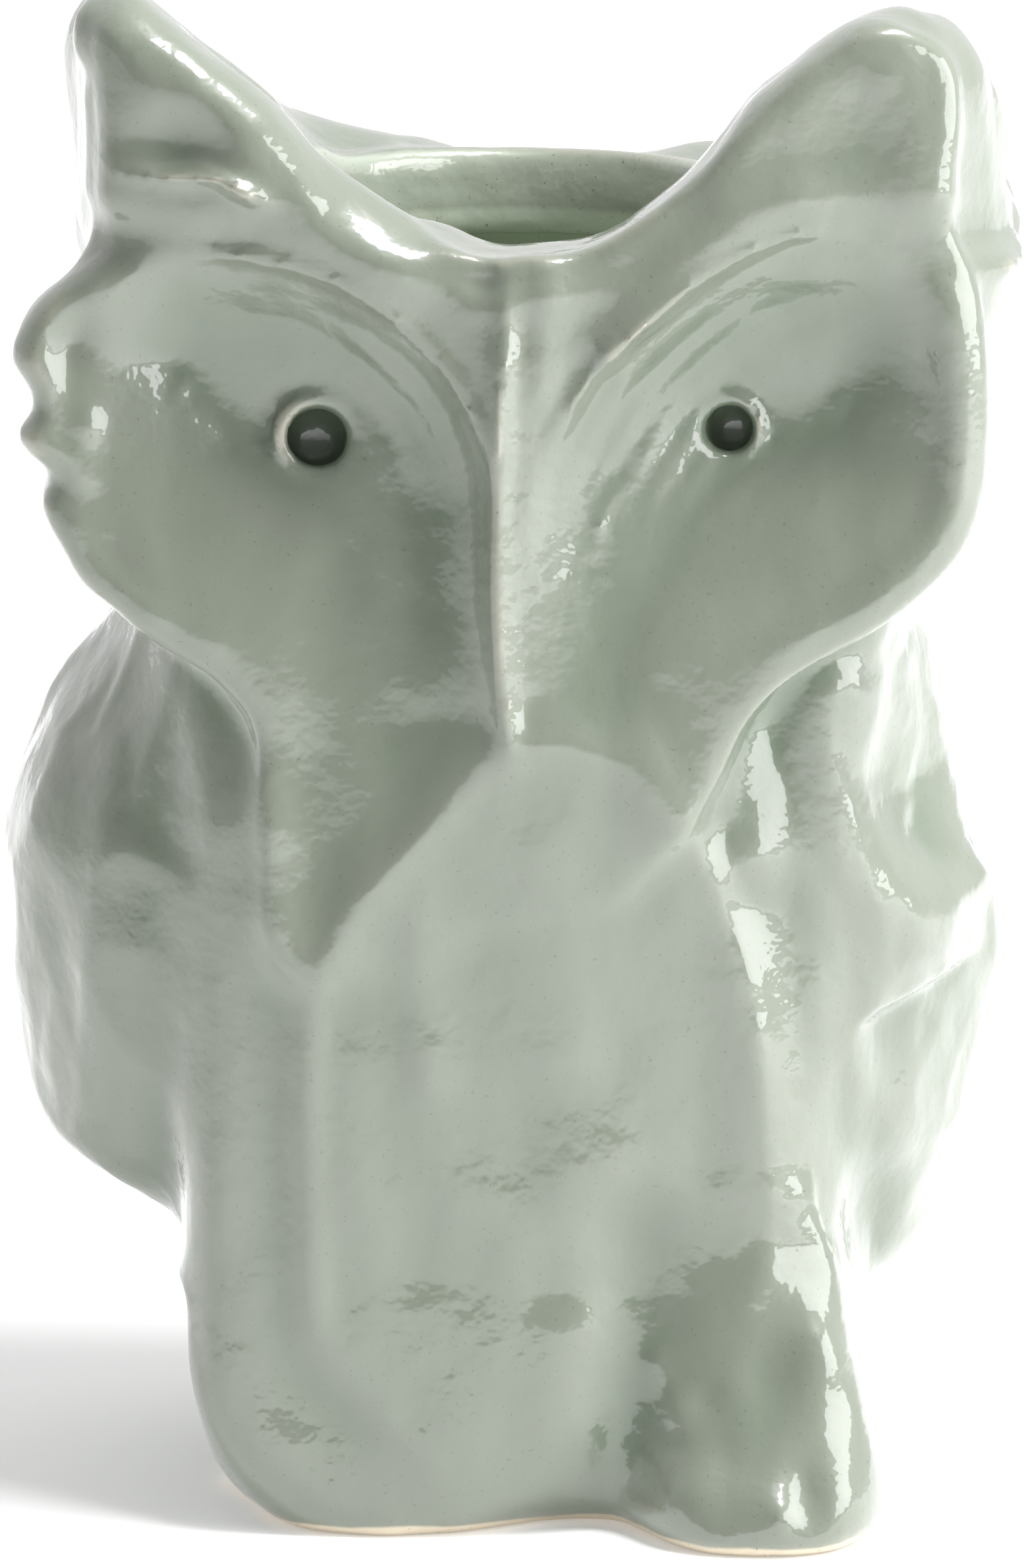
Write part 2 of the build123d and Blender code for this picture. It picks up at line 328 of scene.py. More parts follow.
face = {
    "front": 74.0,
    "sweepBack": 0.0011,
    "back": 50.0,
    "edge": (
        (-8, 237), (4, 236.5), (14, 238), (26, 245.5), (44, 260), (57, 271), (64, 276.5), (71, 276),
        (77, 270), (77, 261), (75, 252), (75.5, 244), (79, 238), (83, 230), (84.5, 215), (85, 200),
        (83, 188), (76, 177.5), (64, 167.5), (50, 160), (42, 152), (34, 138), (16, 125), (0, 122),
        (-16, 116), (-30, 110), (-39, 108), (-43, 116), (-44, 132), (-47, 148), (-54, 158), (-63, 163.5),
        (-72, 169.5), (-78.5, 175), (-83.5, 183), (-87, 190), (-87, 196), (-90.5, 203), (-88.5, 209),
        (-91.5, 216), (-90.5, 222), (-85.5, 228), (-77, 234.5), (-73, 240), (-71.5, 250), (-71.5, 262),
        (-74, 271), (-74, 278), (-67, 278), (-56, 270), (-45, 262.5), (-26, 248),
    ),
    "edgeRound": 2.6,
    "backRound": 3.0,
    "leftRoll": 13.0,  # the left arm of the brow is rolled over
    "rollBeside": (-8, -16),
    "rollAbove": (226, 16),
    "torn": 1.2,  # the edge of the left cheek is torn
    "tornBeside": (-58, -12),
    "tornAbove": (166, 12),
    "tornBelow": (244, -12),
    "lip": (2.5, 4.5, 4.0),  # its height, how far inside the edge, and its width
    "lipAbove": (160, 15),
    "lipBelow": (236, -12),
    "leftBowl": (
        (-3, 194), (-8, 210), (-17, 222), (-31, 232), (-47, 236.5), (-62, 236), (-71, 230), (-77, 219),
        (-77, 204), (-74, 190), (-67, 180), (-58, 172), (-48, 162), (-42, 149), (-40, 130), (-38, 105),
        (-28, 90), (-14, 110), (-3, 138), (-3, 160), (-4, 180),
    ),
    "rightBowl": (
        (4, 198), (10, 209), (17, 219), (26, 227), (34, 233), (44, 238.5), (54, 240.5), (63, 238),
        (71, 231), (76, 222), (78, 210), (77, 197), (71, 186), (61, 175), (48, 164),
        (38, 154), (30, 142), (20, 120), (6, 130), (1, 160), (1, 182),
    ),
    "bowlDeep": 17.0,
    "bowlPower": 1.1,
    "bowlReach": (24.0, 46.0),  # from the brow down to the cheeks
    "bowlFades": (226, -42),
    "bowlSoft": 8.0,
    "bowlCrisp": 0.4,
    "noseSteep": 0.5,  # the bowls fall faster beside the nose
    "noseWide": (-2.0, 18.0),
    "noseBelow": (230, -40),
    "noseLeftOf": (6, -8),
    "chinDeep": 0.47,
    "chinAbove": (146, 74),
    "underBelly": (7.0, 16.0),
    "sweptWide": 5.5,
    "sweptHigh": 0.35,
    "sweptTurn": 0.06,
    "sweptStart": 3.0,
    "swept": (((24, 214), (24, 22)), ((-18, 216), (18, 18))),
    "nose": ((-1.5, 244), (-1.5, 222), (-2.5, 208), (-3, 195), (-3, 180), (-2.5, 165), (-1, 150), (0, 138)),
    "noseSides": (9.0, 1.8),
    "noseRidge": (4.2, 3.2),
    "rolls": (
        (((-12, 228), (-26, 238), (-36, 245.5), (-48, 257), (-62, 268)), 7.0, 3.0),
        (((14, 215), (20.5, 222), (34, 238), (49, 246), (62, 249)), 5.0, 2.6),
        (((65, 280), (69, 262), (71.5, 252), (73, 238)), 6.0, 2.4),
        (((-76, 240), (-72, 246), (-71, 256), (-72, 266)), 3.0, 1.6),
        (((6, 240), (6, 230), (5, 218), (3, 206)), 3.5, 1.2),
    ),
    "creases": (
        (((-76, 253), (-62, 251), (-53, 251), (-41, 245)), 3.4, 5.0),
        (((4, 196), (10, 209), (17, 219), (26, 227), (34, 233), (44, 238.5), (54, 241), (68, 238)),
         2.8, 2.0),
        (((-4, 194), (-8, 210), (-17, 222), (-31, 232), (-47, 236.5), (-64, 237)), 2.8, 1.8),
        (((15, 180), (15.5, 187), (20, 197)), 1.6, 1.0),
        (((46, 226), (51, 226.5)), 1.4, -1.0),
        (((58, 206), (60, 212)), 1.8, 1.0),
        (((-58, 215), (-61, 208)), 1.6, 0.8),
    ),
    "hollows": (
        ((-36, 208), (20, 12), -2.0), ((-14, 184), (8, 22), -3.2), ((-61, 257.5), (9, 5), -8.0),
        ((42, 209), (22, 12), -1.5), ((16, 190), (8, 22), -1.0), ((60, 258), (9, 9), -3.0),
        ((-5, 232), (4, 3), -2.0), ((-62, 222), (3.5, 3), 1.0), ((32, 168), (14, 10), 1.2),
        ((-36, 111), (5, 6), -1.2), ((-31, 128), (8, 14), -1.2), ((-60, 244), (12, 4), 1.5),
        ((-78, 222), (4, 7), -2.0), ((-77, 205), (3, 4), 1.5),
    ),
}
eyes = (
    {"place": (-35.1, 202.0), "radius": 5.2, "rim": 1.7, "deep": 10, "lean": (0.10, 0.16)},
    {"place": (38.9, 203.6), "radius": 4.2, "rim": 1.4, "deep": 8.5, "lean": (-0.12, 0.10)},
)
poke = {"rimBlend": 1.2, "bottomRound": 4.0, "edgeRound": 1.6}


def eyeBowls():
    aboveChin = (1 - face["chinDeep"]) * fade(gz, *face["chinAbove"])
    deep = face["bowlDeep"] * (face["chinDeep"] + aboveChin)
    brow, cheek = face["bowlReach"]
    reach = brow + (cheek - brow) * fade(gz, *face["bowlFades"])
    middle, wide = face["noseWide"]
    besideNose = face["noseSteep"] * np.exp(-(((gx - middle) / wide) ** 2))
    besideNose = besideNose * fade(gz, *face["noseBelow"]) * fade(gx, *face["noseLeftOf"])
    reach = reach * (1 - besideNose)
    bowls = 0
    for name, (place, size) in zip(("rightBowl", "leftBowl"), face["swept"]):
        far = np.clip(-outlineForm(face[name], gx, gz), 0, None)
        dish = 1 - (1 - np.clip(far / reach, 0, 1)) ** face["bowlPower"]
        dish = face["bowlCrisp"] * dish + (1 - face["bowlCrisp"]) * soften(dish, face["bowlSoft"])
        wave = np.sin(2 * math.pi * far / face["sweptWide"] + face["sweptTurn"] * gx)
        wave = wave * ease(far / face["sweptStart"])
        bowls = bowls - deep * dish + wave * dab(place, size, face["sweptHigh"], gx, gz)
    return bowls


def faceFront():
    f = face["front"] - face["sweepBack"] * gx**2 + eyeBowls()
    for place, size, high in face["hollows"]:
        f = f + dab(place, size, high, gx, gz)
    belly = outlineForm(frontBody["belly"], gx, gz)
    drop, reach = face["underBelly"]
    f = f - drop * ease(-belly / reach) - stroke(*frontBody["tongue"], gx, gz)
    f = f + stroke(face["nose"], *face["noseSides"], gx, gz)
    f = f + stroke(face["nose"], *face["noseRidge"], gx, gz, sharp=True)
    for points, wide, high in face["rolls"]:
        f = f + stroke(points, wide, high, gx, gz)
    for points, wide, high in face["creases"]:
        f = f + stroke(points, wide, high, gx, gz, sharp=True)
    return f


def faceForm(unevenEdge):
    torn = fade(gx, *face["tornBeside"]) * fade(gz, *face["tornAbove"]) * fade(gz, *face["tornBelow"])
    edge = outlineForm(face["edge"], gx, gz) + face["torn"] * unevenEdge * torn
    high, inwards, wide = face["lip"]
    lip = high * np.exp(-(((edge + inwards) / wide) ** 2))
    lip = lip * fade(gz, *face["lipBelow"]) * fade(gz, *face["lipAbove"])
    slab = trim(-(gy + faceFront() + lip), gy + face["back"], face["backRound"])
    leftArm = fade(gx, *face["rollBeside"]) * fade(gz, *face["rollAbove"])
    return trim(slab, edge, face["edgeRound"] + face["leftRoll"] * leftArm)


# a blind hole with a raised rim, as a tool leaves it
def pokeEye(form, eye):
    across = np.argmin(abs(gx.ravel() - eye["place"][0]))
    up = np.argmin(abs(gz.ravel() - eye["place"][1]))
    front = gy.ravel()[np.argmax(form[across, :, up] < 0)]
    x = gx - eye["place"][0] + eye["lean"][0] * (gy - front)
    z = gz - eye["place"][1] + eye["lean"][1] * (gy - front)
    r = np.sqrt(x**2 + z**2)
    rim = np.sqrt((r - eye["radius"] - eye["rim"]) ** 2 + (gy - front) ** 2) - eye["rim"]
    form = join(form, rim, poke["rimBlend"])
    hole = trim(r - eye["radius"], gy - front - eye["deep"], poke["bottomRound"])
    return trim(form, -hole, poke["edgeRound"])


# legs, belly and feet: strokes are (points, width, height) and lobes are (place, size, height)

frontBody = {
    "heights": (-5, 5, 13, 23, 34, 60, 100, 150, 178),
    "left": (57, 57.5, 58, 59, 60, 60, 59.5, 61, 64),
    "right": (66, 66, 65, 63.5, 61.5, 61, 61, 63, 66),
    "column": 68.0,
    "sweepBack": 0.0004,
    "back": 20.0,
    "backRound": 3.0,
    "cornerRound": 10.0,
    "top": 176.0,
    "topRound": 6.0,
    "blend": (4.0, 4.0, 12.0),  # with the body, and how much more at the left and right corner
    "blendBeside": (46, 12),
    "bellyHigh": 2.2,
    "bellyLeftOf": (30, -20),
    "bellyShoulder": ((-22, 126), (17, 20), 3.0),
    "fallBeside": (20, 10),  # right of the belly the column falls away, less so near the face
    "fallWide": 20.0,
    "fallRound": 2.0,
    "rightFall": 0.72,
    "fallShare": 0.5,
    "fallAbove": (96, 34),
    "rightLean": 0.035,
    "leanHeights": (50, 80),
    "leanWide": 7.0,
    "belly": (
        (-5, 147), (-17, 134), (-26, 124), (-33, 114), (-37.5, 102), (-39, 80), (-38.5, 60), (-38, 43),
        (-35, 34), (-26, 25), (-17, 15), (-8, 4), (0, -6), (24, -6), (34, 16), (41, 34), (44.5, 50),
        (46, 62), (45, 80), (43, 98), (38, 114), (33, 126), (27, 140), (20, 147), (8, 150),
    ),
    "edgeStart": 0.8,
    "edgeWide": 7.0,
    "edgeFade": 16.0,
    "fadeBelow": (22, -20),
    "fadeLowRight": ((100, -24), (18, 12)),
    "fadeAbove": (0.3, (92, 34)),
    "edgeLip": (1.1, 2.0, 3.0),  # its height, how far inside the edge, and its width
    "lipAbove": (26, 24),
    "lipLeftOf": (34, -30),
    "leftSide": (54.0, 3.0),
    "sideFall": 0.6,
    "behindFace": (15.0, 6.0),
    "behindAcross": 20.0,
    "behindAbove": (128, 52),
    "behindStart": 14.0,
    "tongue": (((-26, 196), (-34, 164), (-38, 136), (-37, 106)), 7.5, 1.5),
    "strokes": (
        (((-17, 124), (-17, 100), (-14, 78)), 4.0, 0.9),
        (((7, 90), (5, 68), (6, 40)), 7.0, -1.0),
        (((-4, 130), (-2, 96), (-3, 60)), 9.0, -0.9),
        (((-29, 100), (-30, 70), (-28, 44)), 6.0, 0.8),
        (((32, 120), (35, 92), (35, 56)), 6.0, -0.8),
        (((18, 134), (20, 100), (21, 64)), 8.0, -0.7),
        (((22, 70), (23, 44), (22, 20), (21, -10)), 8.5, -4.0),
        (((46, 54), (49, 34), (49, 10)), 7.0, 2.0),
        (((-48, 168), (-46, 140), (-44, 100)), 6.0, 3.0),
        (((52, 166), (47, 142), (42, 116)), 9.0, 3.0),
    ),
    "lobes": (
        ((-34, 6), (26, 24), 3.0), ((8, 138), (20, 20), 2.8), ((4, 20), (16, 12), 1.5),
        ((-12, 52), (10, 8), -0.8), ((12, 46), (12, 6), -0.8),
    ),
}
standing = {
    "outline": (
        (-57, 10), (-57, -15), (-52, -37), (-43, -60), (-33, -71), (-22, -74.5), (-12, -71), (0, -64),
        (9, -60), (20, -61), (27, -66), (40, -66), (60, -50), (62, -20), (60, 10), (54, 40), (36, 58),
        (0, 62), (-36, 58), (-54, 40),
    ),
    "flare": 0.75,
    "edgeRound": 8.0,
    "floorRound": 2.0,
    "bareEdge": (1.0, 2.5, 3.0),  # the foot's edge: its rim, and how much and how high it draws in
}
rightFoot = {
    "middle": (46, -60),
    "heights": (-5, 0, 8, 20, 34, 48, 60),
    "left": (24, 25, 25, 22, 18, 12, 3),
    "right": (22, 22, 22, 20, 17, 12, 2),
    "front": (28, 29, 25, 18, 12, 5, 1),
    "back": 30.0,
    "roundness": 2.4,
    "topRound": 4.0,
    "blend": 10.0,
}


def rightOfBelly(edge):
    beyond = np.clip(edge, 0, frontBody["fallWide"]) * fade(gx, *frontBody["fallBeside"])
    soft = frontBody["fallRound"]
    fall = frontBody["rightFall"] * (1 - frontBody["fallShare"] * fade(gz, *frontBody["fallAbove"]))
    low, span = frontBody["leanHeights"]
    lean = frontBody["rightLean"] * np.clip(gz - low, 0, span) * ease(beyond / frontBody["leanWide"])
    return fall * (np.sqrt(beyond**2 + soft**2) - soft) + lean


def bellyLip(edge):
    high, inwards, wide = frontBody["edgeLip"]
    lip = high * np.exp(-(((edge + inwards) / wide) ** 2))
    return lip * fade(gz, *frontBody["lipAbove"]) * fade(gx, *frontBody["lipLeftOf"])


def bodyFront():
    f = frontBody["column"] - frontBody["sweepBack"] * gx**2 + 0 * gz
    edge = outlineForm(frontBody["belly"], gx, gz)
    lowFade, rightFade = frontBody["fadeLowRight"]
    share, highFade = frontBody["fadeAbove"]
    fades = fade(gz, *frontBody["fadeBelow"]) + fade(gz, *lowFade) * fade(gx, *rightFade)
    wide = frontBody["edgeWide"] + frontBody["edgeFade"] * (fades + share * fade(gz, *highFade))
    high = frontBody["bellyHigh"] * fade(gx, *frontBody["bellyLeftOf"])
    high = high + dab(*frontBody["bellyShoulder"], gx, gz)
    f = f + high * ease(frontBody["edgeStart"] - edge / wide) - rightOfBelly(edge) + bellyLip(edge)
    side, soft = frontBody["leftSide"]
    f = f - frontBody["sideFall"] * (np.sqrt(np.maximum(-gx - side, 0) ** 2 + soft**2) - soft)
    atLeft, atRight = frontBody["behindFace"]
    recess = atLeft + (atRight - atLeft) * ease(gx / frontBody["behindAcross"] + 0.5)
    f = f - recess * fade(gz, *frontBody["behindAbove"]) * ease(edge / frontBody["behindStart"])
    f = f - stroke(*frontBody["tongue"], gx, gz)
    for points, size, high in frontBody["strokes"]:
        f = f + stroke(points, size, high, gx, gz)
    for place, size, high in frontBody["lobes"]:
        f = f + dab(place, size, high, gx, gz)
    return f


def frontOfBody(form):
    slab = trim(-(gy + bodyFront()), gy + frontBody["back"], frontBody["backRound"])
    left = between(gz, frontBody["heights"], frontBody["left"])
    right = between(gz, frontBody["heights"], frontBody["right"])
    slab = trim(slab, np.maximum(-gx - left, gx - right), frontBody["cornerRound"])
    blend, atLeft, atRight = frontBody["blend"]
    blend = blend + np.where(gx < 0, atLeft, atRight) * fade(np.abs(gx), *frontBody["blendBeside"])
    return join(form, trim(slab, gz - frontBody["top"], frontBody["topRound"]), blend)


# the foot's edge draws in towards the floor, and the right foot stands in front of it
def feet(form):
    rim, drawnIn, high = standing["bareEdge"]
    drawnIn = drawnIn * np.exp(-gz / high)
    base = outlineForm(standing["outline"], gx, gy)
    form = trim(form, base - standing["flare"] * gz - rim + drawnIn, standing["edgeRound"])
    x, y = rightFoot["middle"]
    reach = [between(gz, rightFoot["heights"], rightFoot[side]) for side in ("left", "right", "front")]
    foot = ringForm(*reach, rightFoot["back"], rightFoot["roundness"], gx - x, gy - y)
    foot = trim(foot + drawnIn, gz - rightFoot["heights"][-1], rightFoot["topRound"])
    return join(form, foot, rightFoot["blend"])


# fingers: clay pressed on or pushed in, as (place, size, height), where minus is a dent

presses = (
    ((31, -78, 10), (6, 8, 6), 1.6), ((46, -86, 10), (6, 8, 6), 1.6), ((60, -80, 12), (6, 8, 8), 1.4),
    ((38, -84, 20), (3, 8, 6), -1.4), ((53, -86, 13), (2.5, 8, 5), -1.8), ((56, -74, 37), (7, 8, 8), 2.6),
    ((47, -76, 30), (4, 8, 8), -1.2), ((30, -74, 24), (3, 8, 4), 1.2), ((36, -80, 27), (2.5, 8, 3), -1.2),
    ((26, -72, 32), (3, 8, 4), 1.0), ((47, -76, 52), (3, 8, 3), 1.0), ((49, -84, 8), (2, 8, 2), 0.8),
    ((-88, -20, 130), (14, 20, 12), 2.0), ((-82, -40, 104), (12, 14, 16), -2.0),
    ((-86, -30, 78), (10, 16, 12), 2.0), ((-72, -48, 140), (9, 12, 12), 2.0),
    ((-68, -52, 60), (6, 12, 10), -2.5), ((-66, -50, 46), (7, 10, 4), 2.5),
    ((84, -20, 132), (12, 20, 12), 2.0), ((76, -46, 128), (10, 14, 12), -2.0),
    ((76, -44, 108), (10, 14, 8), 2.0),
    ((73, -46, 64), (6, 12, 12), 2.0), ((68, -50, 140), (7, 10, 8), -2.0),
    ((72, -50, 118), (8, 14, 9), 2.0), ((62, -60, 76), (7, 12, 15), -4.0),
    ((-86, -70, 216), (5, 8, 5), 1.5), ((-86, -70, 202), (4, 8, 4), 1.5),
    ((-82, -70, 194), (4, 8, 4), -1.5), ((90, -20, 246), (8, 20, 6), -2.0),
    ((-80, -56, 268), (5, 8, 3), -1.5),
)


def pressed(form):
    for place, size, high in presses:
        far = ((gx - place[0]) / size[0]) ** 2 + ((gy - place[1]) / size[1]) ** 2
        form = form - high * np.exp(-far - ((gz - place[2]) / size[2]) ** 2)
    return form


# flats left by a paddle: places on the skin are found along rays from the middle, then cut a little

facets = {
    "count": 260,
    "cut": 0.8,
    "deepest": 1.5,
    "reach": 24.0,
    "flatShare": 0.5,
    "sizes": (0.5, 1.4),
    "heights": (12, 262),
    "rays": (20, 125),
    "feel": 4,
    "seed": 21,
}


def skinPlaces(form):
    rng = np.random.default_rng(facets["seed"])
    low = np.array(clay["low"])
    out = np.arange(facets["rays"][0], facets["rays"][1] + 1.0)
    turns = rng.uniform(0, 2 * math.pi, facets["count"])
    heights = rng.uniform(*facets["heights"], facets["count"])
    for turn, z in zip(turns, heights):
        ray = np.stack([out * math.cos(turn), out * math.sin(turn), np.full(len(out), z)], 1)
        within = np.flatnonzero(readAt(form, (ray - low) / clay["block"]) < 0)
        if len(within) and within[-1] < len(out) - 1:
            place = ray[within[-1]]
            step = np.eye(3) * facets["feel"]
            ahead = readAt(form, (place + step - low) / clay["block"])
            behind = readAt(form, (place - step - low) / clay["block"])
            normal = ahead - behind
            yield place, normal / max(np.linalg.norm(normal), 1e-6), rng.uniform(*facets["sizes"])


def paddleFlat(form):
    low = np.array(clay["low"])
    for place, normal, size in skinPlaces(form.copy()):
        reach = facets["reach"] * size
        first = np.maximum(((place - reach - low) / clay["block"]).astype(int), 0)
        last = ((place + reach - low) / clay["block"]).astype(int)
        part = tuple(slice(a, b) for a, b in zip(first, last))
        x = gx[part[0]] - place[0]
        y = gy[:, part[1]] - place[1]
        z = gz[:, :, part[2]] - place[2]
        along = x * normal[0] + y * normal[1] + z * normal[2]
        away = np.sqrt(x**2 + y**2 + z**2) / reach
        cut = facets["cut"] * size
        most = facets["deepest"] * cut * (1 - fade(away, facets["flatShare"], 1 - facets["flatShare"]))
        form[part] += np.clip(along + cut - form[part], 0, most)
    return form


# the face plate is joined on, and the whole skin is made uneven, most of all away from the face

faceJoin = {
    "blend": 3.0,
    "chin": 9.0,  # how much softer the join is at the chin, the ears and the cheeks
    "chinBelow": (195, -70),
    "chinAcross": (62, -20),
    "ears": 7.0,
    "earsAbove": (240, 8),
    "cheeks": 5.0,
    "cheeksAcross": (62, 10),
    "cheeksAbove": (170, 20),
    "cheeksBehind": (-66, 10),
}
uneven = {
    "lumps": {"size": (34, 34, 46), "high": 1.0, "seed": 11},
    "dents": {"size": (13, 13, 30), "high": 0.5, "seed": 12},
    "fine": {"size": (6, 6, 9), "high": 0.22, "seed": 13},
    "combed": {"size": (4.5, 6, 70), "high": 0.12, "seed": 14},
    "frontOf": (-40, -20),
    "frontCalm": 0.3,  # the front is smoother, and the face more so
    "faceCalm": 0.15,
    "faceAbove": (140, 20),
}


def faceBlend():
    aside = np.abs(gx)
    chin = faceJoin["chin"] * fade(gz, *faceJoin["chinBelow"]) * fade(aside, *faceJoin["chinAcross"])
    tips = faceJoin["ears"] * fade(gz, *faceJoin["earsAbove"])
    cheeks = faceJoin["cheeks"] * fade(aside, *faceJoin["cheeksAcross"])
    cheeks = cheeks * fade(gz, *faceJoin["cheeksAbove"]) * fade(gy, *faceJoin["cheeksBehind"])
    return faceJoin["blend"] + chin + tips + cheeks


def unevenSkin(form, lumps, dents, fine, combed):
    calm = uneven["frontCalm"] + uneven["faceCalm"] * fade(gz, *uneven["faceAbove"])
    calm = 1 - fade(gy, *uneven["frontOf"]) * calm
    form = form + calm * (uneven["lumps"]["high"] * lumps + uneven["dents"]["high"] * dents)
    onEars = ears["combed"] * fade(gz, *ears["combedAbove"]) * fade(np.abs(gx), *ears["combedBeside"])
    return form + uneven["fine"]["high"] * fine + (onEars + uneven["combed"]["high"]) * combed


def insideForm(r):
    inside = trim(potForm(-pot["wall"]), gz - (pot["top"] - pot["topThick"]), pot["insideRound"])
    inside = trim(inside, pot["floorThick"] - gz, pot["insideRound"])
    front = -gy - pot["insideFront"] + pot["behindFace"] * fade(gz, *pot["neck"])
    inside = trim(inside, front, pot["insideRound"])
    wider, slope = mouth["underTop"]
    shaft = r - mouth["radius"] - wider - slope * np.maximum(mouth["hangs"] - gz, 0)
    return trim(inside, shaft, pot["insideRound"])


def openMouth(form, inside, r):
    form = trim(form, -inside, mouth["edgeRound"])
    half = mouth["ringThick"] / 2
    ring = np.abs(r - mouth["radius"] - half) - half
    ring = trim(ring, gz - mouth["lip"] + dipInFront(), mouth["ringRound"])
    ring = trim(ring, mouth["hangs"] - gz, mouth["ringRound"])
    form = join(form, ring, mouth["blend"])
    return trim(form, -trim(r - mouth["radius"], mouth["open"] - gz, 1), mouth["edgeRound"])


def wholeForm():
    kinds = ("lumps", "dents", "fine", "combed")
    lumps, dents, fine, combed = [unevenness(uneven[kind]["size"], uneven[kind]["seed"]) for kind in kinds]
    form = earSides(trim(potForm(), pot["topSteep"] * (gz - topOfHead()), pot["edgeRound"]))
    print("pot done")
    for wing in (leftWing, rightWing):
        form = join(form, wingForm(wing), wings["blend"])
    form = foldRightWing(form)
    form = paddleFlat(form.astype(np.float32))
    print("wings done")
    form = feet(frontOfBody(form))
    print("legs, belly and feet done")
    layer = len(gy.ravel()) // 8  # one layer near the front tears the edge of the cheek
    form = join(form, faceForm(fine[:, layer : layer + 1, :]), faceBlend())
    print("face done")
    form = unevenSkin(pressed(form), lumps, dents, fine, combed)
    for eye in eyes:
        form = pokeEye(form, eye)
    much, times, turned = mouth["wobble"]
    r = np.sqrt(gx**2 + gy**2) + much * np.sin(times * np.arctan2(gy, gx) + turned)
    inside = insideForm(r)
    form = openMouth(form, inside, r)
    print("mouth and hollow done")
    return trim(form, -gz, standing["floorRound"]), inside


# the values of a grid at points between its blocks
def readAt(a, points):
    near = np.floor(points).astype(int)
    near = np.clip(near, 0, np.array(a.shape) - 2)
    t = points - near
    out = 0
    for i in (0, 1):
        for j in (0, 1):
            for k in (0, 1):
                w = np.abs(1 - i - t[:, 0]) * np.abs(1 - j - t[:, 1]) * np.abs(1 - k - t[:, 2])
                out = out + w * a[near[:, 0] + i, near[:, 1] + j, near[:, 2] + k]
    return out


def relax(points, quads, times):
    edges = np.vstack([quads[:, [0, 1]], quads[:, [1, 2]], quads[:, [2, 3]], quads[:, [3, 0]]])
    a = np.concatenate([edges[:, 0], edges[:, 1]])
    b = np.concatenate([edges[:, 1], edges[:, 0]])
    count = np.bincount(a, minlength=len(points))[:, None]
    for step in clay["smoothing"] * times:
        mean = np.stack([np.bincount(a, points[b, k], len(points)) for k in range(3)], 1) / count
        points = points + step * (mean - points)
    return points


paintedLightInside = {"radius": 2.0, "share": 0.4, "start": 1.2, "reach": 2.0}  # where the painted light inside the pot begins: a paler colour that stands in for light in the hollow and on the collar


# the skin, which also carries how sharp and how hollow it is at each point, and, from how far inside it is,
# where the inside gets painted light
def potMesh():
    form, inside = wholeForm()
    form = form.astype(np.float32)
    outside = 20.0
    grid = openvdb.FloatGrid(background=outside)
    grid.copyFromArray(form)
    points, quads = grid.convertToQuads(isovalue=0.0)
    quads = quads[:, ::-1].astype(np.int64)
    points = relax(points.astype(np.float64), quads, clay["smoothings"])
    print("skin:", len(points), "points")
    solid = np.clip(0.5 - form / (2 * clay["block"]), 0, 1)
    sharp = readAt(blurred(solid, round(clay["edgeReach"] / clay["block"])), points) - 0.5
    broad = readAt(blurred(solid, round(clay["hollowReach"] / clay["block"])), points) - 0.5
    world = points * clay["block"] + np.array(clay["low"])
    inCollar = mouth["radius"] + paintedLightInside["radius"] - np.hypot(world[:, 0], world[:, 1])
    inCollar = inCollar * (world[:, 2] > mouth["open"])
    # painted light mask: how much of the pale inside colour each point gets, standing in for light in the
    # hollow and on the collar
    paintedInsideLight = np.clip(paintedLightInside["start"] - readAt(inside, points) / paintedLightInside["reach"], 0, 1)
    paintedInsideLight = np.maximum(paintedInsideLight, paintedLightInside["share"] * np.clip(inCollar, 0, 1))
    mesh = bpy.data.meshes.new("owlSkin")
    mesh.from_pydata((world / 1000).tolist(), [], quads.tolist())
    mesh.polygons.foreach_set("use_smooth", np.ones(len(quads), dtype=bool))
    for name, values in (("sharp", sharp), ("broad", broad), ("paintedInsideLight", paintedInsideLight)):
        layer = mesh.attributes.new(name, "FLOAT", "POINT")
        layer.data.foreach_set("value", values.astype(np.float32))
    mesh.update()
    owl = bpy.data.objects.new("owlSkin", mesh)
    bpy.context.collection.objects.link(owl)
    return owl


owl = potMesh()
print("form ready")


# the glaze: thin and pale over edges, dark where it pools, painted lighter inside in place of the light
# that reaches the hollow, and wiped off at the foot

glaze = {
    "body": (0.202, 0.229, 0.181),
    "pooled": (0.148, 0.186, 0.134),
    "thin": (0.45, 0.425, 0.35),
    # painted light: the inside colour is far paler than the body glaze, to stand in for the light in the
    # hollow and on the collar
    "inside": (0.70, 0.77, 0.64),
    "bareClay": (0.70, 0.62, 0.49),
    "speck": (0.13, 0.14, 0.11),
    "cloud": 22.0,
    "pooledCloud": 0.06,
    "pooledFrom": (-0.02, 0.14),
    "thinCloud": 0.05,
    "thinFrom": (-0.09, -0.22),
    "thinShare": 0.55,
    "bareFrom": (0.0034, 0.0026),
    "bareWobble": (60.0, 0.002),
    "speckSize": 1300.0,
    "speckFrom": (0.70, 0.76),
    "speckShare": 0.6,
    "roughness": (0.32, 0.8),  # glazed and bare
    "coat": (1.0, 0.0),
    "coatRoughness": 0.03,
    "coatBend": 1.6,
    "ripple": 120.0,
    "rippleStrength": 0.4,
    "rippleHigh": 0.0012,
}


def colour(rgb):
    return (*rgb, 1.0)


